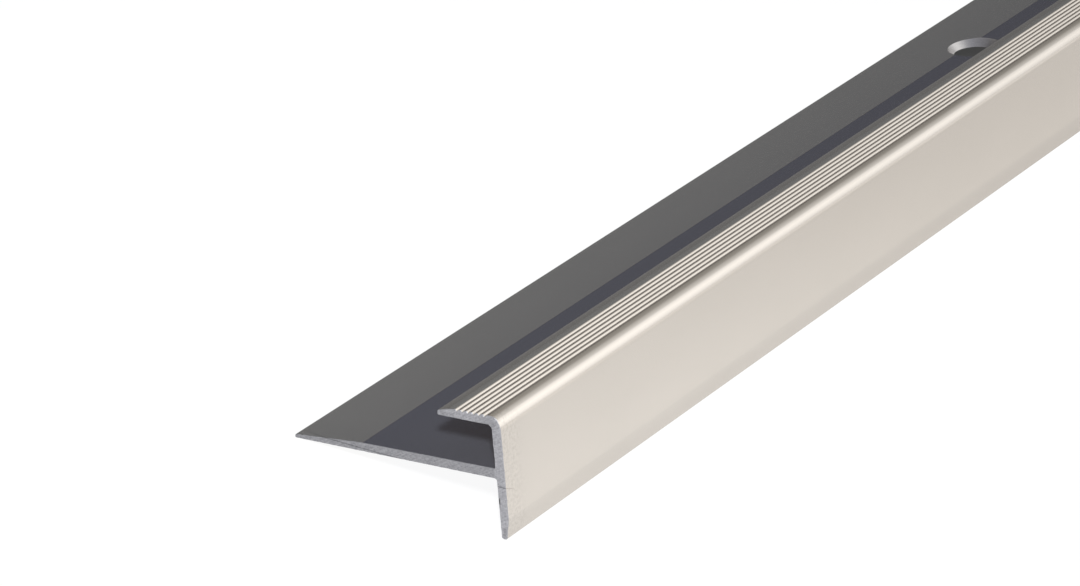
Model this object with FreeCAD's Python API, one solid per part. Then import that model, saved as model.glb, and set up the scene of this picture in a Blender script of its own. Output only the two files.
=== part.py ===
import FreeCAD, Part
import math
import os
from FreeCAD import Vector

# Stair nosing for a thin floor covering: one aluminium profile, extruded and sawn to length.
# Sizes are in millimetres. The section is drawn as it is fitted: y runs back from the front
# face, z runs up from the underside of the base plate, and x runs along the profile.
length = 900.0

# Base plate, which is screwed down on the tread and thins towards its free edge
depth = 30.4
base_at_wall = 1.28
base_at_crease = 1.12
base_at_edge = 0.46
taper_run = 10.0
base_edge_radius = 0.18

# Slot that takes the edge of the floor covering, and the wall that closes it
slot_height = 5.53
wall = 1.3
slot_floor_radius = 0.15
slot_roof_radius = 0.6

# Lip over the covering: its tail falls in two soft steps to a thin rounded edge
lip = 1.19
lip_reach = 8.9
tail_length = 2.6
tail_fall = 0.2
tail_blend_radius = 9.0
edge_run = 1.3
edge_fall = 0.38
lip_edge_radius = 0.22

# Anti-slip grooves along the lip, cut as a soft V between narrow rounded crests
groove_pitch = 0.78
groove_depth = 0.34
groove_floor_radius = 0.1
crest_width = 0.38
crest_radius = 0.17

# Nose: a long round flank, a tighter crown and a land that eases back to the level
nose_height = 1.12
nose_depth = 1.25
flank_turn = math.radians(31.0)
flank_radius = 2.8
crown_radius = 0.75
land_turn = math.radians(12.0)
land_radius = 3.3
nose_land = 0.68

# Drop leg, whose lower front leans in towards a rounded toe
drop = 7.75
drop_wall = 1.2
toe_height = 2.75
toe_lean = 0.46
toe_radius = 0.33
tread_corner_radius = 0.4

# Countersunk screw holes, one row along the plate
hole_pitch = 300.0
hole_from_edge = 11.1
hole_diameter = 6.0
countersink_diameter = 8.1
countersink_angle = math.radians(90.0)
tool_overrun = 1.0

# Heights and places that follow from the sizes above
slot_roof = base_at_wall + slot_height
top = slot_roof + lip
crease = depth - taper_run
flank_slope = math.tan(flank_turn)
land_slope = math.tan(land_turn)
crown_y = (nose_height - nose_depth * land_slope) * flank_slope / (1 - flank_slope * land_slope)
crown_z = top - (nose_depth - crown_y) * land_slope
groove_width = groove_pitch - crest_width
first_groove = nose_depth + nose_land + groove_width / 2
groove_count = 1 + int((lip_reach - tail_length - first_groove) / groove_pitch)
hole_count = max(1, round(length / hole_pitch))
hole_y = depth - hole_from_edge


def plate_top(y):
    """Height of the base plate's upper face, in front of the crease."""
    fall = (base_at_wall - base_at_crease) * (y - wall) / (crease - wall)
    return base_at_wall - fall


def rounded_outline(corners):
    """Closed wire through (y, z, radius) corners. Roundings that would meet share their side."""
    points = [Vector(0, y, z) for y, z, radius in corners]
    count = len(points)
    sides = [points[(i + 1) % count] - points[i] for i in range(count)]
    turns = [sides[i - 1].getAngle(sides[i]) for i in range(count)]
    reach = [corners[i][2] * math.tan(turns[i] / 2) for i in range(count)]
    room = [min(1.0, sides[i].Length / max(reach[i] + reach[(i + 1) % count], 1e-9)) for i in range(count)]
    starts, ends = [], []
    for i, point in enumerate(points):
        cut = reach[i] * min(room[i - 1], room[i])
        before = Vector(sides[i - 1]).normalize()
        after = Vector(sides[i]).normalize()
        starts.append(point - before * cut)
        ends.append(point + after * cut)
    edges = []
    for i, point in enumerate(points):
        span = ends[i] - starts[i]
        if span.Length > 1e-6:
            middle = (starts[i] + ends[i]) / 2
            sagitta = span.Length / 2 * math.tan(turns[i] / 4)
            crown = middle + (point - middle).normalize() * sagitta
            edges.append(Part.Arc(starts[i], crown, ends[i]).toShape())
        following = starts[(i + 1) % count]
        if (following - ends[i]).Length > 1e-6:
            edges.append(Part.LineSegment(ends[i], following).toShape())
    return Part.Wire(edges)


def grooves():
    """Corners of the grooves, from the lip's tail forward to the nose."""
    corners = []
    for i in reversed(range(groove_count)):
        centre = first_groove + i * groove_pitch
        corners.append((centre + groove_width / 2, top, crest_radius))
        corners.append((centre, top - groove_depth, groove_floor_radius))
        corners.append((centre - groove_width / 2, top, crest_radius))
    return corners


def section():
    """The profile's outline, from the corner under the base plate, round by its free edge."""
    base_plate = [
        (drop_wall, 0, tread_corner_radius),
        (depth, 0, base_edge_radius),
        (depth, base_at_edge, base_edge_radius),
        (crease, base_at_crease, 0),
    ]
    slot = [
        (wall, base_at_wall, slot_floor_radius),
        (wall, slot_roof, slot_roof_radius),
    ]
    lip_tail = [
        (lip_reach, slot_roof, lip_edge_radius),
        (lip_reach, top - tail_fall - edge_fall, lip_edge_radius),
        (lip_reach - edge_run, top - tail_fall, tail_blend_radius),
    ]
    nose = [
        (nose_depth, top, land_radius),
        (crown_y, crown_z, crown_radius),
        (0, top - nose_height, flank_radius),
    ]
    drop_leg = [
        (0, toe_height - drop, 0),
        (toe_lean, -drop, toe_radius),
        (drop_wall, -drop, toe_radius),
    ]
    return rounded_outline(base_plate + slot + lip_tail + grooves() + nose + drop_leg)


def screw_hole(x):
    """Cutting tool for one hole: the drilled bore and the cone above it."""
    rim = plate_top(hole_y)
    slope = math.tan(countersink_angle / 2)
    bore_radius = hole_diameter / 2
    rim_radius = countersink_diameter / 2
    cone_depth = (rim_radius - bore_radius) / slope
    cone_radius = rim_radius + tool_overrun * slope
    place = Vector(x, hole_y, -tool_overrun)
    bore = Part.makeCylinder(bore_radius, rim + 2 * tool_overrun, place)
    place = Vector(x, hole_y, rim - cone_depth)
    cone = Part.makeCone(bore_radius, cone_radius, cone_depth + tool_overrun, place)
    return bore.fuse(cone)


def rest_tilt():
    """Angle at which the profile lies on a floor, on its toe and on the plate's free edge."""
    run = (depth - base_edge_radius) - (drop_wall - toe_radius)
    rise = base_edge_radius - (toe_radius - drop)
    span = math.hypot(run, rise)
    return math.atan2(rise, run) + math.asin((toe_radius - base_edge_radius) / span)


def nosing_profile():
    """The whole profile, lying as it comes to rest, with the origin on the floor under its middle."""
    bar = Part.Face(section()).extrude(Vector(length, 0, 0))
    first_hole = (length - (hole_count - 1) * hole_pitch) / 2
    for i in range(hole_count):
        bar = bar.cut(screw_hole(first_hole + i * hole_pitch))
    bar.rotate(Vector(0, 0, 0), Vector(1, 0, 0), -math.degrees(rest_tilt()))
    box = bar.optimalBoundingBox(False)
    bar.translate(Vector(-box.Center.x, -box.Center.y, -box.ZMin))
    return bar


os.makedirs("parts", exist_ok=True)
profile = nosing_profile()
profile.exportStep("parts/nosing_profile.step")
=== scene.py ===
import math

import bmesh
import bpy
from mathutils import Matrix, Vector, noise


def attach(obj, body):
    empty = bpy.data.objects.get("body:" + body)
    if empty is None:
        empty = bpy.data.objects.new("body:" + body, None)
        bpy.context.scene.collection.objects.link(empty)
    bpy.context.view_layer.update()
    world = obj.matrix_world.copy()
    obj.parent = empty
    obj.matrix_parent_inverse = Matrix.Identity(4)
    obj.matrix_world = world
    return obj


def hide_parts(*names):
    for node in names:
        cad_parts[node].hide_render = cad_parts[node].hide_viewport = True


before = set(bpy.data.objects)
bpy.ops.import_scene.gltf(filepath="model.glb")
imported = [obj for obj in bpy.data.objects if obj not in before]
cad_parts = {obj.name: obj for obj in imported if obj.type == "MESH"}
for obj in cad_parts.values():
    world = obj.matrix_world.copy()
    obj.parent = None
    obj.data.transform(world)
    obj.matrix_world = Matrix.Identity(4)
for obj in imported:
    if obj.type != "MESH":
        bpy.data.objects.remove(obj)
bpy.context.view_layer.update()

MM = 0.001

# Driving sizes of the profile, in millimetres, as in the part's source. The section is drawn
# as fitted on a stair: y runs back from the front face, z up from the underside of the plate.
length = 900.0
depth = 30.4
base_at_wall = 1.28
base_at_crease = 1.12
base_at_edge = 0.46
taper_run = 10.0
base_edge_radius = 0.18
slot_height = 5.53
wall = 1.3
slot_floor_radius = 0.15
slot_roof_radius = 0.6
lip = 1.19
lip_reach = 8.9
tail_length = 2.6
tail_fall = 0.2
tail_blend_radius = 9.0
edge_run = 1.3
edge_fall = 0.38
lip_edge_radius = 0.22
groove_pitch = 0.78
groove_depth = 0.34
groove_floor_radius = 0.1
crest_width = 0.38
crest_radius = 0.17
nose_height = 1.12
nose_depth = 1.25
flank_turn = math.radians(31.0)
flank_radius = 2.8
crown_radius = 0.75
land_turn = math.radians(12.0)
land_radius = 3.3
nose_land = 0.68
drop = 7.75
drop_wall = 1.2
toe_height = 2.75
toe_lean = 0.46
toe_radius = 0.33
tread_corner_radius = 0.4
hole_pitch = 300.0
hole_from_edge = 11.1
hole_diameter = 6.0
countersink_diameter = 8.1
countersink_angle = math.radians(90.0)

# Heights and places that follow from the sizes above
slot_roof = base_at_wall + slot_height
top = slot_roof + lip
crease = depth - taper_run
flank_slope = math.tan(flank_turn)
land_slope = math.tan(land_turn)
crown_y = (nose_height - nose_depth * land_slope) * flank_slope / (1 - flank_slope * land_slope)
crown_z = top - (nose_depth - crown_y) * land_slope
groove_width = groove_pitch - crest_width
first_groove = nose_depth + nose_land + groove_width / 2
groove_count = 1 + int((lip_reach - tail_length - first_groove) / groove_pitch)
hole_count = max(1, round(length / hole_pitch))
hole_y = depth - hole_from_edge
hole_rim = base_at_wall - (base_at_wall - base_at_crease) * (hole_y - wall) / (crease - wall)

# Fineness of the mesh, the angle from which an edge is sharp, and folds that are sharp though flatter
arc_step = math.radians(4.0)
edge_step = 0.3
hole_steps = 128
shortest_cut = 1e-6
not_zero = 1e-9
sharp_angle = math.radians(28.0)
folds = [(crease, base_at_crease), (0, toe_height - drop)]
fold_near = 1e-3
flat_face_weight = 100

# Edge that the saw tore: its width, which is larger on the slot's wall, and the two waves in
# which it varies, as scale, distance of the two ends in the noise, shift and share
burr_least = 0.03
burr_most = 0.11
burr_at_slot = 0.17
burr_near_wall = 0.05
burr_above_floor = 0.4
burr_below_roof = 1.5
burr_middle = 0.45
burr_waves = [
    (1.7, 9.0, 0.0, 0.5),
    (6.0, 5.0, 3.0, 0.6),
]

# Screw holes: a rim that is broken a little, and how far the cutter goes on past the metal
hole_rim_break = 0.07
hole_rim_slope = math.radians(34.0)
hole_rim_overrun = 0.20
cutter_overrun = 1.0
cutter_flare = 1.6

# Materials of the profile, by their places in its list
ANODISED, SAWN, DRILLED, TORN = range(4)


def rest_tilt():
    """Angle at which the profile lies on the floor, on its toe and on the plate's free edge."""
    run = (depth - base_edge_radius) - (drop_wall - toe_radius)
    rise = base_edge_radius - (toe_radius - drop)
    span = math.hypot(run, rise)
    return math.atan2(rise, run) + math.asin((toe_radius - base_edge_radius) / span)


def rounded_outline(corners):
    """Points of a closed outline through (y, z, radius) corners, with arcs in equal steps."""
    points = [Vector((y, z)) for y, z, radius in corners]
    count = len(points)
    sides = [points[(i + 1) % count] - points[i] for i in range(count)]
    turns = [sides[i - 1].angle(sides[i]) for i in range(count)]
    reach = [corners[i][2] * math.tan(turns[i] / 2) for i in range(count)]
    needed = [max(reach[i] + reach[(i + 1) % count], not_zero) for i in range(count)]
    room = [min(1.0, sides[i].length / needed[i]) for i in range(count)]
    outline = []
    for i, point in enumerate(points):
        cut = reach[i] * min(room[i - 1], room[i])
        if cut < shortest_cut:
            outline.append(point)
            continue
        start = point - sides[i - 1].normalized() * cut
        end = point + sides[i].normalized() * cut
        radius = cut / math.tan(turns[i] / 2)
        centre = point + ((start + end) / 2 - point).normalized() * radius / math.cos(turns[i] / 2)
        steps = max(2, round(turns[i] / arc_step))
        swing = (start - centre).angle_signed(end - centre)
        for k in range(steps + 1):
            outline.append(centre + Matrix.Rotation(-swing * k / steps, 2) @ (start - centre))
    return outline


def divided(outline):
    """The same outline with more points along its straight sides."""
    points = []
    for i, point in enumerate(outline):
        side = outline[(i + 1) % len(outline)] - point
        parts = max(1, round(side.length / edge_step))
        points += [point + side * k / parts for k in range(parts)]
    return points


def groove_corners():
    """Corners of the anti-slip grooves, from the lip's tail forward to the nose."""
    corners = []
    for i in reversed(range(groove_count)):
        centre = first_groove + i * groove_pitch
        corners.append((centre + groove_width / 2, top, crest_radius))
        corners.append((centre, top - groove_depth, groove_floor_radius))
        corners.append((centre - groove_width / 2, top, crest_radius))
    return corners


def section():
    """The profile's outline in millimetres, from the corner under the plate, by its free edge."""
    base_plate = [
        (drop_wall, 0, tread_corner_radius),
        (depth, 0, base_edge_radius),
        (depth, base_at_edge, base_edge_radius),
        (crease, base_at_crease, 0),
    ]
    slot = [
        (wall, base_at_wall, slot_floor_radius),
        (wall, slot_roof, slot_roof_radius),
    ]
    lip_tail = [
        (lip_reach, slot_roof, lip_edge_radius),
        (lip_reach, top - tail_fall - edge_fall, lip_edge_radius),
        (lip_reach - edge_run, top - tail_fall, tail_blend_radius),
    ]
    nose = [
        (nose_depth, top, land_radius),
        (crown_y, crown_z, crown_radius),
        (0, top - nose_height, flank_radius),
    ]
    drop_leg = [
        (0, toe_height - drop, 0),
        (toe_lean, -drop, toe_radius),
        (drop_wall, -drop, toe_radius),
    ]
    return rounded_outline(base_plate + slot + lip_tail + groove_corners() + nose + drop_leg)


def resting_frame(outline):
    """Matrix from the section's millimetres to the frame's metres, for the profile at rest."""
    turn = Matrix.Rotation(-rest_tilt(), 4, "X")
    turned = [turn @ Vector((0, y, z)) for y, z in outline]
    middle = (min(p.y for p in turned) + max(p.y for p in turned)) / 2
    lowest = min(p.z for p in turned)
    return Matrix.Scale(MM, 4) @ Matrix.Translation((-length / 2, -middle, -lowest)) @ turn


def outward(outline):
    """Outward direction at each point of the outline."""
    count = len(outline)
    normals = []
    for i in range(count):
        along = outline[(i + 1) % count] - outline[i - 1]
        normals.append(Vector((along.y, -along.x)).normalized())
    return normals


def burr(point, end):
    """Width of the edge that the saw tore, in millimetres, at a point of one end's outline."""
    share = burr_middle
    for scale, apart, shift, weight in burr_waves:
        share += weight * noise.noise(Vector((point.x * scale, point.y * scale, end * apart + shift)))
    share = min(1.0, max(0.0, share))
    on_wall = abs(point.x - wall) < burr_near_wall
    in_slot = base_at_wall + burr_above_floor < point.y < slot_roof - burr_below_roof
    widest = burr_at_slot if on_wall and in_slot else burr_most
    return burr_least + (widest - burr_least) * share


def bridge(shape, first, second, material):
    """Faces between two rings of points."""
    count = len(first)
    for i in range(count):
        j = (i + 1) % count
        face = shape.faces.new((first[i], first[j], second[j], second[i]))
        face.material_index = material


def close_rings(shape, first, last, material):
    """Faces that close the first and the last ring of a row."""
    for ring in (first, last):
        shape.faces.new(ring).material_index = material


def finished_mesh(name, shape):
    """Mesh of a shape, with its faces turned outward."""
    bmesh.ops.recalc_face_normals(shape, faces=shape.faces)
    mesh = bpy.data.meshes.new(name)
    shape.to_mesh(mesh)
    shape.free()
    return mesh


def profile_mesh(outline):
    """The extrusion: one ring of points at each station, with a torn edge at both sawn ends."""
    normals = outward(outline)
    shape = bmesh.new()
    rings = []
    for end, face_x, inward in ((0, 0.0, 1.0), (1, length, -1.0)):
        widths = [burr(p, end) for p in outline]
        inset = [p - n * w for p, n, w in zip(outline, normals, widths)]
        face_ring = [shape.verts.new((face_x, p.x, p.y)) for p in inset]
        side_ring = [shape.verts.new((face_x + inward * w, p.x, p.y)) for p, w in zip(outline, widths)]
        rings.append((face_ring, side_ring))
    (near_face, near_side), (far_face, far_side) = rings
    bridge(shape, near_face, near_side, TORN)
    bridge(shape, near_side, far_side, ANODISED)
    bridge(shape, far_side, far_face, TORN)
    close_rings(shape, near_face, list(reversed(far_face)), SAWN)
    return finished_mesh("nosing_profile_dressed", shape)


def hole_cutter(x):
    """Turned cutter for one screw hole: bore, countersink and a slightly broken rim."""
    slope = math.tan(countersink_angle / 2)
    bore = hole_diameter / 2
    rim = countersink_diameter / 2
    broken = hole_rim - hole_rim_break / slope
    turned = [
        (bore, -cutter_overrun),
        (bore, hole_rim - (rim - bore) / slope),
        (rim - hole_rim_break, broken),
        (rim + hole_rim_overrun, broken + (hole_rim_break + hole_rim_overrun) * math.tan(hole_rim_slope)),
        (rim + cutter_flare, hole_rim + cutter_overrun),
    ]
    shape = bmesh.new()
    rings = []
    for radius, height in turned:
        ring = []
        for k in range(hole_steps):
            angle = 2 * math.pi * k / hole_steps
            y = hole_y + radius * math.sin(angle)
            ring.append(shape.verts.new((x + radius * math.cos(angle), y, height)))
        rings.append(ring)
    for lower, upper in zip(rings, rings[1:]):
        bridge(shape, lower, upper, DRILLED)
    close_rings(shape, list(reversed(rings[0])), rings[-1], DRILLED)
    return finished_mesh("hole_cutter", shape)


def set_sharp(mesh):
    """Smooth shading with sharp edges at corners, at the folds and between two materials."""
    mesh.shade_smooth()
    mesh.set_sharp_from_angle(angle=sharp_angle)
    beside = {}
    for face in mesh.polygons:
        for key in face.edge_keys:
            beside.setdefault(key, set()).add(face.material_index)
    for edge in mesh.edges:
        ends = [mesh.vertices[v].co.yz for v in edge.vertices]
        at_fold = any(max((e - Vector(fold)).length for e in ends) < fold_near for fold in folds)
        if at_fold or len(beside[edge.key]) > 1:
            edge.use_edge_sharp = True


def add_object(name, data):
    """A new object in the scene for a mesh, a lamp or a camera."""
    made = bpy.data.objects.new(name, data)
    bpy.context.scene.collection.objects.link(made)
    return made


def dressed(name, mesh, materials):
    """A new object in the scene for a mesh, with its materials."""
    for material in materials:
        mesh.materials.append(material)
    return add_object(name, mesh)


def nosing_profile(outline, place, materials):
    """The whole profile in the frame's place, with its holes cut and its normals set."""
    piece = dressed("nosing_profile_dressed", profile_mesh(divided(outline)), materials)
    cutters = []
    first_hole = (length - (hole_count - 1) * hole_pitch) / 2
    for i in range(hole_count):
        cutter = dressed("hole_cutter", hole_cutter(first_hole + i * hole_pitch), materials)
        cut = piece.modifiers.new("hole", "BOOLEAN")
        cut.operation = "DIFFERENCE"
        cut.solver = "EXACT"
        cut.material_mode = "TRANSFER"
        cut.object = cutter
        cutters.append(cutter)
    bpy.context.view_layer.update()
    drilled_piece = piece.evaluated_get(bpy.context.evaluated_depsgraph_get())
    solved = bpy.data.meshes.new_from_object(drilled_piece)
    piece.modifiers.clear()
    piece.data = solved
    for cutter in cutters:
        bpy.data.objects.remove(cutter)
    set_sharp(solved)
    solved.transform(place)
    weighted = piece.modifiers.new("flat faces stay flat", "WEIGHTED_NORMAL")
    weighted.keep_sharp = True
    weighted.weight = flat_face_weight
    return piece


def new_material(name):
    """A node material, its tree and its Principled shader."""
    material = bpy.data.materials.new(name)
    material.use_nodes = True
    tree = material.node_tree
    return material, tree, tree.nodes["Principled BSDF"]


def feed(tree, target, inputs):
    """Inputs of a node, by name or number, set to values or joined to other nodes."""
    for socket, content in inputs.items():
        if isinstance(content, bpy.types.NodeSocket):
            tree.links.new(content, target.inputs[socket])
        else:
            target.inputs[socket].default_value = content


def node(tree, kind, inputs=None, **settings):
    """A new node of a tree, with its properties and its inputs set."""
    made = tree.nodes.new(kind)
    for key, value in settings.items():
        setattr(made, key, value)
    feed(tree, made, inputs or {})
    return made


def grey(level):
    """Colour without a tint."""
    return (level, level, level, 1)


def mapped(tree, vector, **settings):
    """A vector, moved, turned or scaled."""
    return node(tree, "ShaderNodeMapping", {"Vector": vector, **settings}).outputs["Vector"]


def own_place(tree):
    """Place on the object, in metres."""
    return node(tree, "ShaderNodeTexCoord").outputs["Object"]


def scaled_place(tree, scale):
    """Place on the object in metres, times a scale for each axis."""
    return mapped(tree, own_place(tree), Scale=scale)


def on_section(tree, place):
    """Place on the profile in the section's millimetres: along, back from the front and up."""
    back = place.inverted().translation
    return mapped(tree, own_place(tree), Location=back, Rotation=(rest_tilt(), 0, 0), Scale=(1 / MM,) * 3)


def axes(tree, vector):
    """The three values of a vector."""
    return tuple(node(tree, "ShaderNodeSeparateXYZ", {0: vector}).outputs)


def math_node(tree, operation, a, b=0.0, c=0.0):
    """Result of one sum on values or numbers."""
    return node(tree, "ShaderNodeMath", {0: a, 1: b, 2: c}, operation=operation).outputs[0]


def vector_node(tree, operation, inputs):
    """Results of one sum on vectors, by name."""
    return node(tree, "ShaderNodeVectorMath", inputs, operation=operation).outputs


def times(tree, a, b):
    """Product of two values."""
    return math_node(tree, "MULTIPLY", a, b)


def larger(tree, a, b):
    """Larger one of two values."""
    return math_node(tree, "MAXIMUM", a, b)


def size_of(tree, value):
    """A value without its sign."""
    return math_node(tree, "ABSOLUTE", value)


def between(tree, share, first, last):
    """Even change from one level to another."""
    settings = {"Value": share, "To Min": first, "To Max": last}
    return node(tree, "ShaderNodeMapRange", settings).outputs["Result"]


def fade(tree, value, start, end, first=0.0, last=1.0):
    """Soft change from one level to another between two places."""
    settings = {"Value": value, "From Min": start, "From Max": end, "To Min": first, "To Max": last}
    return node(tree, "ShaderNodeMapRange", settings, interpolation_type="SMOOTHSTEP").outputs["Result"]


def fall(tree, value, start, end):
    """Soft change from one to zero between two places."""
    return fade(tree, value, start, end, 1.0, 0.0)


def band(tree, value, rising, falling):
    """One on a band of places, with a soft rise before it and a soft fall behind it."""
    return times(tree, fade(tree, value, *rising), fall(tree, value, *falling))


def noise_at(tree, vector, scale=1.0, detail=2.0):
    """Value of a noise texture."""
    settings = {"Vector": vector, "Scale": scale, "Detail": detail}
    return node(tree, "ShaderNodeTexNoise", settings).outputs["Fac"]


def relief(tree, height, strength, distance, base=None):
    """Fine relief from a height, on top of other relief where that is given."""
    settings = {"Height": height, "Strength": strength, "Distance": distance}
    if base is not None:
        settings["Normal"] = base
    return node(tree, "ShaderNodeBump", settings).outputs["Normal"]


def mix_colour(tree, share, first, second):
    """Colour between two others."""
    settings = {"Factor": share, "A": first, "B": second}
    return node(tree, "ShaderNodeMix", settings, data_type="RGBA").outputs["Result"]


def shade(tree, colour, masks):
    """A colour, darkened by masks that each take away a share of it."""
    for mask, share in masks:
        left = math_node(tree, "MULTIPLY_ADD", mask, -share, 1.0)
        colour = vector_node(tree, "SCALE", {0: colour, "Scale": left})["Vector"]
    return colour


# Wear on the near sawn end, in the section's millimetres: a scratch with its height, its slope
# back and along, its half width and its run, and the share of light it takes on end and front
scratch_height = -1.02
scratch_slope = -0.07
scratch_fall = 0.43
scratch_width = (0.02, 0.10)
scratch_run = (0.6, 2.0)
scratch_on_end = 0.45
scratch_on_front = 0.18

# A nick and smudges beside it, as centre, reach and the share of light each takes
end_smudges = [
    ((1.20, -2.85), (0.30, 0.75), 0.95),
    ((0.70, -0.85), (0.70, 0.35), 0.12),
    ((0.66, -6.60), (0.30, 0.42), 0.23),
    ((0.72, -7.15), (0.28, 0.30), 0.32),
    ((8.00, 7.30), (0.60, 0.40), 0.18),
    ((1.10, 6.90), (0.50, 0.45), 0.12),
    ((1.60, 7.00), (2.20, 1.30), 0.10),
]
smudge_core = 0.4


def spot(tree, where, centre, reach):
    """One inside a soft ellipse on the sawn end, zero outside."""
    shifted = vector_node(tree, "SUBTRACT", {0: where, 1: (0, *centre)})["Vector"]
    scaled = vector_node(tree, "DIVIDE", {0: shifted, 1: (1, *reach)})["Vector"]
    return fall(tree, vector_node(tree, "LENGTH", {0: scaled})["Value"], smudge_core, 1.0)


def scratch(tree, where):
    """The scratch across the sawn end of the drop leg, which runs on a little over the front face."""
    x, y, z = axes(tree, where)
    height = math_node(tree, "MULTIPLY_ADD", y, scratch_slope, z)
    height = math_node(tree, "MULTIPLY_ADD", x, scratch_fall, height)
    off = size_of(tree, math_node(tree, "SUBTRACT", height, scratch_height))
    return times(tree, fall(tree, off, *scratch_width), fall(tree, x, *scratch_run))


def end_wear(tree, where):
    """Masks of the wear on the sawn end, each with the share of light it takes."""
    masks = [(scratch(tree, where), scratch_on_end)]
    for centre, reach, share in end_smudges:
        masks.append((spot(tree, where, centre, reach), share))
    return masks


# Anodised faces: scales of die lines, grain and clouds by axis, tones, and levels of the shader.
# Here and below, a relief is given as its strength and its height in metres.
die_lines = (9.0, 2600.0, 2600.0)
etched_grain = (9000.0, 9000.0, 9000.0)
clouds = (60.0, 140.0, 140.0)
silver = [(0.655, 0.609, 0.553, 1), (0.685, 0.635, 0.580, 1)]
anodised_roughness = (0.11, 0.15)
anodised_metallic = 0.90
anodised_relief = (0.15, 0.00001)

# Faint rubbed patches near the sawn end: how far they run, their scale, edge and share of light
rubbed_run = (1.5, 6.0)
rubbed_scale = 2.6
rubbed_edge = (0.42, 0.62)
rubbed_share = 0.07

# Crests of the grooves, brighter with a painted highlight: where they start and end, and the
# light they gain
crests_start = (nose_depth + 0.10, nose_depth + 0.45)
crests_end = (lip_reach - tail_length - 0.05, lip_reach - tail_length + 0.20)
crests_painted_highlight = 0.18

# Floor of the slot up to the crease, darker and cooler with painted shade: its place, its
# tone, and how much smoother and less metallic it is than the other faces
slot_floor_start = (wall - 0.7, wall - 0.1)
slot_floor_end = (crease - 0.1, crease)
slot_floor_above = (base_at_wall + 0.22, base_at_wall + 0.72)
slot_floor_painted_shade = (0.425, 0.453, 0.545, 1)
slot_floor_smoother = 0.045
slot_floor_duller = 0.06


def anodised(place):
    """Satin anodised face: warm silver, faint die lines along the profile and a fine etched grain."""
    material, tree, shader = new_material("anodised")
    where = on_section(tree, place)
    x, y, z = axes(tree, where)
    lines = noise_at(tree, scaled_place(tree, die_lines), detail=3.0)
    grain = noise_at(tree, scaled_place(tree, etched_grain))
    cloud = noise_at(tree, scaled_place(tree, clouds))
    patches = fade(tree, noise_at(tree, where, rubbed_scale, detail=3.0), *rubbed_edge)
    rubbed = times(tree, fall(tree, x, *rubbed_run), patches)
    # Painted highlight along the crests of the grooves
    crests = band(tree, y, crests_start, crests_end)
    crests = times(tree, crests, fade(tree, z, slot_roof, top - groove_depth))
    slot_floor = band(tree, y, slot_floor_start, slot_floor_end)
    slot_floor = times(tree, slot_floor, fall(tree, z, *slot_floor_above))
    tone = mix_colour(tree, cloud, *silver)
    # Painted shade: the slot's floor takes a darker, cooler tone
    tone = mix_colour(tree, slot_floor, tone, slot_floor_painted_shade)
    scratched = (scratch(tree, where), scratch_on_front)
    rough = between(tree, lines, *anodised_roughness)
    die_relief = relief(tree, lines, *anodised_relief)
    feed(tree, shader, {
        "Base Color": shade(tree, tone, [scratched, (rubbed, rubbed_share), (crests, -crests_painted_highlight)]),
        "Roughness": math_node(tree, "MULTIPLY_ADD", slot_floor, -slot_floor_smoother, rough),
        "Metallic": math_node(tree, "MULTIPLY_ADD", slot_floor, -slot_floor_duller, anodised_metallic),
        "Normal": relief(tree, grain, *anodised_relief, base=die_relief),
    })
    return material


# Sawn ends: the blade's marks, turned and stretched, a mottle, and levels of the shader
saw_turn = math.radians(28.0)
saw_stretch = (0.3, 0.5, 6.0)
saw_share = 0.45
mottle_scale = 3.4
mottle_share = 0.55
sawn_tones = [(0.0, 0.0, 0.015, 1), (0.80, 0.795, 0.83, 1)]
sawn_metallic = 0.8
sawn_roughness = 0.48
sawn_relief = (0.5, 0.00003)

# The plate's part of the sawn end, darker with painted shade: where that starts and ends, and the light
# it takes
plate_rise = (-0.9, 0.0)
plate_fall = (base_at_wall, base_at_wall + 0.92)
plate_start = (wall - 0.4, wall + 0.5)
plate_painted_shade = 0.20


def sawn(place):
    """Bare sawn end: grey, mottled, with the blade's slanting marks, a scratch, a nick and smudges."""
    material, tree, shader = new_material("sawn")
    where = on_section(tree, place)
    y, z = axes(tree, where)[1:]
    turned = mapped(tree, where, Rotation=(saw_turn, 0, 0))
    marks = noise_at(tree, mapped(tree, turned, Scale=saw_stretch), detail=4.0)
    mottle = noise_at(tree, where, mottle_scale, detail=4.0)
    light = math_node(tree, "MULTIPLY_ADD", marks, saw_share, times(tree, mottle, mottle_share))
    # Painted shade on the plate's part of the sawn end
    plate = times(tree, band(tree, z, plate_rise, plate_fall), fade(tree, y, *plate_start))
    masks = [(plate, plate_painted_shade)] + end_wear(tree, where)
    feed(tree, shader, {
        "Base Color": shade(tree, mix_colour(tree, light, *sawn_tones), masks),
        "Metallic": sawn_metallic,
        "Roughness": sawn_roughness,
        "Normal": relief(tree, marks, *sawn_relief),
    })
    return material


# Torn rim of the sawn ends: scale of its grain, tones and levels of the shader
torn_grain = (5000.0, 5000.0, 5000.0)
torn_tones = [(0.20, 0.20, 0.21, 1), (0.44, 0.44, 0.46, 1)]
torn_metallic = 0.5
torn_roughness = 0.55


def torn(place):
    """Rim that the saw tore along the ends: rough bare metal."""
    material, tree, shader = new_material("torn")
    grain = noise_at(tree, scaled_place(tree, torn_grain), detail=3.0)
    tone = mix_colour(tree, grain, *torn_tones)
    feed(tree, shader, {
        "Base Color": shade(tree, tone, end_wear(tree, on_section(tree, place))),
        "Metallic": torn_metallic,
        "Roughness": torn_roughness,
    })
    return material


# Screw holes: scale of the turned rings, tones and levels of the shader
drill_rings = (1500.0, 1500.0, 9000.0)
drilled_tones = [(0.62, 0.60, 0.60, 1), (0.72, 0.70, 0.695, 1)]
drilled_metallic = 0.97
drilled_roughness = 0.22
drilled_relief = (0.3, 0.00002)


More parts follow.
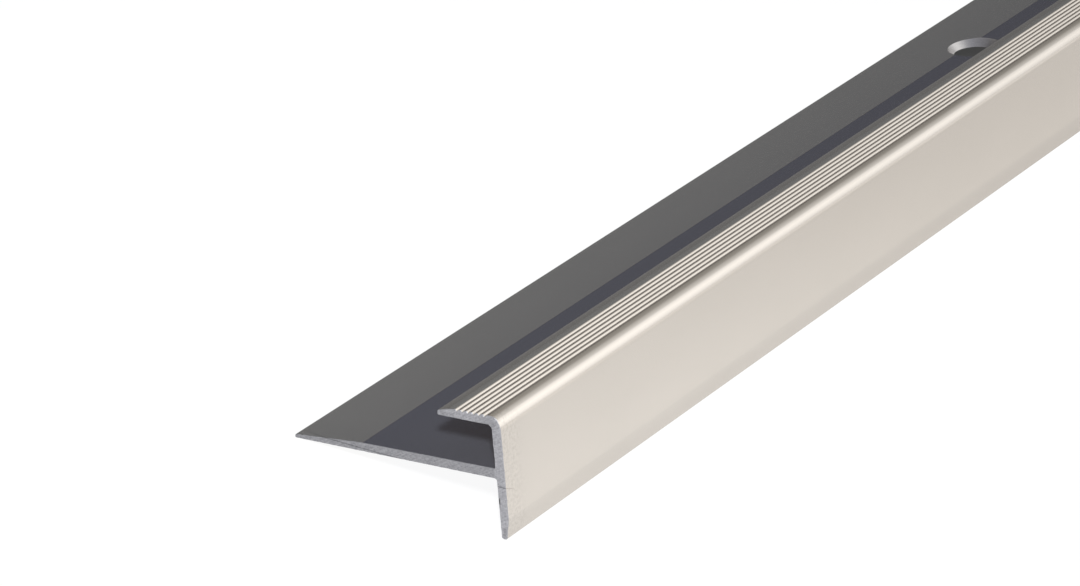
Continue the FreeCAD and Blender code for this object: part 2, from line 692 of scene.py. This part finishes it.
def drilled():
    """Bare drilled metal of the screw holes, turned in fine rings."""
    material, tree, shader = new_material("drilled")
    rings = noise_at(tree, scaled_place(tree, drill_rings), detail=3.0)
    feed(tree, shader, {
        "Base Color": mix_colour(tree, rings, *drilled_tones),
        "Metallic": drilled_metallic,
        "Roughness": drilled_roughness,
        "Normal": relief(tree, rings, *drilled_relief),
    })
    return material


def ray(tree, kind):
    """One for rays of a kind, zero for others."""
    return node(tree, "ShaderNodeLightPath").outputs[kind]


def seen_directly(tree):
    """One for rays straight from the camera or through something clear."""
    return larger(tree, ray(tree, "Is Camera Ray"), ray(tree, "Is Transmission Ray"))


def set_surface(tree, output, share, first, second):
    """Surface of a material or a world, mixed from two shaders."""
    mixed = node(tree, "ShaderNodeMixShader", {0: share, 1: first.outputs[0], 2: second.outputs[0]})
    tree.links.new(mixed.outputs[0], tree.nodes[output].inputs["Surface"])


# Floor, in metres in the frame: its size, its tone in the light and in the shade under the
# profile, where that shade ends, how far the floor is lifted to white for the camera and for
# the metal, and how bright that white is
floor_size = 60.0
floor_white = 0.86
floor_shade = 0.06
under_ends = (0.013, 0.030)
under_sides = (0.010, 0.015)
floor_lift = 0.88
glossy_lift = 0.865
floor_glow = 1.04

# Floor as the metal sees it, with painted light and shade in its glow: fades along and across,
# as start, end, level before and after, among them a painted contact shadow just in front of
# the profile, and its tints far along and behind
along_fade = (-0.445, -0.27, 1.09, 0.865)
painted_contact_shadow = (-0.021, -0.017, 1.0, 0.87)
front_fade = (-0.065, -0.021, 0.92, 1.0)
far_fade = (-0.11, -0.05, 1.36, 1.0)
back_fade = (0.0135, 0.022, 1.0, 0.085)
far_tint = (0.995, 0.975, 0.955, 1)
back_tint = (0.92, 0.94, 1.0, 1)


def under_profile(tree):
    """One on the floor in the shade under the profile, zero outside."""
    x, y = axes(tree, own_place(tree))[:2]
    half = length * MM / 2
    inside = fall(tree, size_of(tree, x), half - under_ends[1], half - under_ends[0])
    return times(tree, inside, fall(tree, size_of(tree, y), *under_sides))


def floor_share(tree):
    """How far the floor is lifted to white for the rays that see it."""
    glossy = times(tree, ray(tree, "Is Glossy Ray"), glossy_lift)
    return math_node(tree, "ADD", glossy, times(tree, seen_directly(tree), floor_lift))


def floor_level(tree):
    """Level of the lifted floor: white, but for the metal graded by place with painted light and shade,
    and dark behind.
    """
    x, y = axes(tree, own_place(tree))[:2]
    graded = fade(tree, x, *along_fade)
    # Painted light and shade in the floor's glow, with a painted contact shadow just in front
    for across in (painted_contact_shadow, front_fade, far_fade, back_fade):
        graded = times(tree, graded, fade(tree, y, *across))
    return between(tree, ray(tree, "Is Glossy Ray"), floor_glow, graded)


def floor_tint(tree):
    """Colour of the lifted floor: white, but for the metal painted warmer far along and cooler behind."""
    x, y = axes(tree, own_place(tree))[:2]
    graded = mix_colour(tree, fade(tree, x, *along_fade[:2]), grey(1), far_tint)
    graded = mix_colour(tree, fade(tree, y, *back_fade[:2]), graded, back_tint)
    return mix_colour(tree, ray(tree, "Is Glossy Ray"), grey(1), graded)


def floor():
    """Plain pale floor, lifted to white where camera or metal sees it, dark under the profile."""
    half = floor_size / 2
    corners = [(-half, -half, 0), (half, -half, 0), (half, half, 0), (-half, half, 0)]
    mesh = bpy.data.meshes.new("floor")
    mesh.from_pydata(corners, [], [(0, 1, 2, 3)])
    material, tree, shader = new_material("floor")
    under = under_profile(tree)
    tone = mix_colour(tree, under, grey(floor_white), grey(floor_shade))
    feed(tree, shader, {"Base Color": tone, "Roughness": 1.0, "Specular IOR Level": 0.0})
    left = math_node(tree, "MULTIPLY_ADD", under, floor_shade - 1.0, 1.0)
    level = times(tree, floor_level(tree), left)
    glow = node(tree, "ShaderNodeEmission", {"Color": floor_tint(tree), "Strength": level})
    set_surface(tree, "Material Output", floor_share(tree), shader, glow)
    ground = dressed("floor", mesh, [material])


# Surroundings: their strength as light, then how the metal sees them. They weaken towards both
# ends of the profile and are dim and cool, but for the far side, the near side and low in front.
half_turn = 180.0
world_strength = 0.30
strip_ends = (0.66, 0.96, 1.06, 0.66)
far_side_light = (-0.30, 0.60)
near_side_light = (-0.70, -0.45, 1.0, 0.0)
low_front = (135.0 / half_turn, 155.0 / half_turn)
overhead_colour = (0.28, 0.29, 0.335, 1)

# Light of the surroundings as the metal sees it, by the angle about the profile's length:
# 0 is level behind the profile, 90 is overhead and 180 is level in front of it
world_peak = 1.68
surroundings = [
    (0, (0.188, 0.198, 0.209)),
    (13, (0.185, 0.20, 0.2155)),
    (16.5, (0.0, 0.008, 0.045)),
    (20.5, (0.07, 0.055, 0.045)),
    (23.5, (0.07, 0.055, 0.045)),
    (26, (0.36, 0.35, 0.33)),
    (36, (0.32, 0.308, 0.285)),
    (44, (0.505, 0.492, 0.467)),
    (60, (0.61, 0.60, 0.58)),
    (95, (0.79, 0.79, 0.78)),
    (127, (1.00, 1.00, 1.00)),
    (143, (1.40, 1.40, 1.40)),
    (153, (1.68, 1.68, 1.68)),
    (168, (1.50, 1.50, 1.50)),
    (180, (1.14, 1.14, 1.14)),
]


def world_light():
    """Pale surroundings: white where seen, even as light, and graded as the metal sees them."""
    world = bpy.data.worlds.new("studio")
    bpy.context.scene.world = world
    world.use_nodes = True
    tree = world.node_tree
    x, y, z = axes(tree, node(tree, "ShaderNodeTexCoord").outputs["Generated"])
    share = math_node(tree, "DIVIDE", math_node(tree, "ARCTAN2", z, y), math.pi)
    graded = node(tree, "ShaderNodeValToRGB", {"Fac": share})
    stops = graded.color_ramp.elements
    stops.remove(stops[1])
    for i, (degrees, level) in enumerate(surroundings):
        stop = stops[0] if i == 0 else stops.new(degrees / half_turn)
        stop.position = degrees / half_turn
        stop.color = [v / world_peak for v in level] + [1]
    lit = larger(tree, fade(tree, x, *far_side_light), fade(tree, x, *near_side_light))
    lit = larger(tree, lit, fade(tree, share, *low_front))
    tint = mix_colour(tree, lit, overhead_colour, grey(1))
    colour = vector_node(tree, "MULTIPLY", {0: graded.outputs["Color"], 1: tint})["Vector"]
    level = times(tree, fade(tree, size_of(tree, x), *strip_ends), world_peak)
    mirrored = node(tree, "ShaderNodeBackground", {"Color": colour, "Strength": level})
    plain = tree.nodes["Background"]
    strength = between(tree, seen_directly(tree), world_strength, 1.0)
    feed(tree, plain, {"Color": grey(1), "Strength": strength})
    set_surface(tree, "World Output", ray(tree, "Is Glossy Ray"), plain, mirrored)


# Key lamp, in metres in the frame, before and above the near sawn end, and turned to it
key_place = (-1.227, -0.42, 0.82)
key_aim = (-length * MM / 2, 0.0, 0.01)
key_size = 0.11
key_power = 16.0
key_colour = (0.98, 0.99, 1.0)


def key_lamp():
    """Small square lamp, which casts the lip's shadow into the slot."""
    lamp = bpy.data.lights.new("key", "AREA")
    lamp.shape = "RECTANGLE"
    lamp.size = lamp.size_y = key_size
    lamp.energy = key_power
    lamp.color = key_colour
    holder = add_object("key", lamp)
    holder.location = key_place
    ahead = Vector(key_aim) - Vector(key_place)
    holder.rotation_euler = ahead.to_track_quat("-Z", "Y").to_euler()


# Camera as in the photograph, placed in the section's millimetres from the near sawn end
camera_place = Vector((-388.23, -282.29, 218.30))
camera_heading = math.radians(54.68)
camera_fall = math.radians(22.13)
camera_roll = math.radians(4.815)
camera_lens = 151.05
camera_film = 36.0
camera_sight = (0.01, 100.0)


def camera(place):
    """Long lens that looks along the profile from its near end, in front and above."""
    level = Vector((math.cos(camera_heading), -math.sin(camera_heading), 0))
    ahead = Vector((math.sin(camera_heading), math.cos(camera_heading), 0)) * math.cos(camera_fall)
    ahead.z = -math.sin(camera_fall)
    upright = level.cross(ahead)
    right = level * math.cos(camera_roll) - upright * math.sin(camera_roll)
    up = level * math.sin(camera_roll) + upright * math.cos(camera_roll)
    turn = place.to_3x3().normalized()
    basis = Matrix((turn @ right, turn @ up, turn @ -ahead)).transposed()
    lens = bpy.data.cameras.new("camera")
    lens.lens = camera_lens
    lens.sensor_width = camera_film
    lens.clip_start, lens.clip_end = camera_sight
    holder = add_object("camera", lens)
    holder.matrix_world = Matrix.Translation(place @ camera_place) @ basis.to_4x4()
    bpy.context.scene.camera = holder


outline = section()
place = resting_frame(outline)
profile = nosing_profile(outline, place, [anodised(place), sawn(place), drilled(), torn(place)])
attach(profile, "root")
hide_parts("nosing_profile")

floor()
world_light()
key_lamp()
camera(place)
bpy.context.scene.view_settings.view_transform = "Standard"
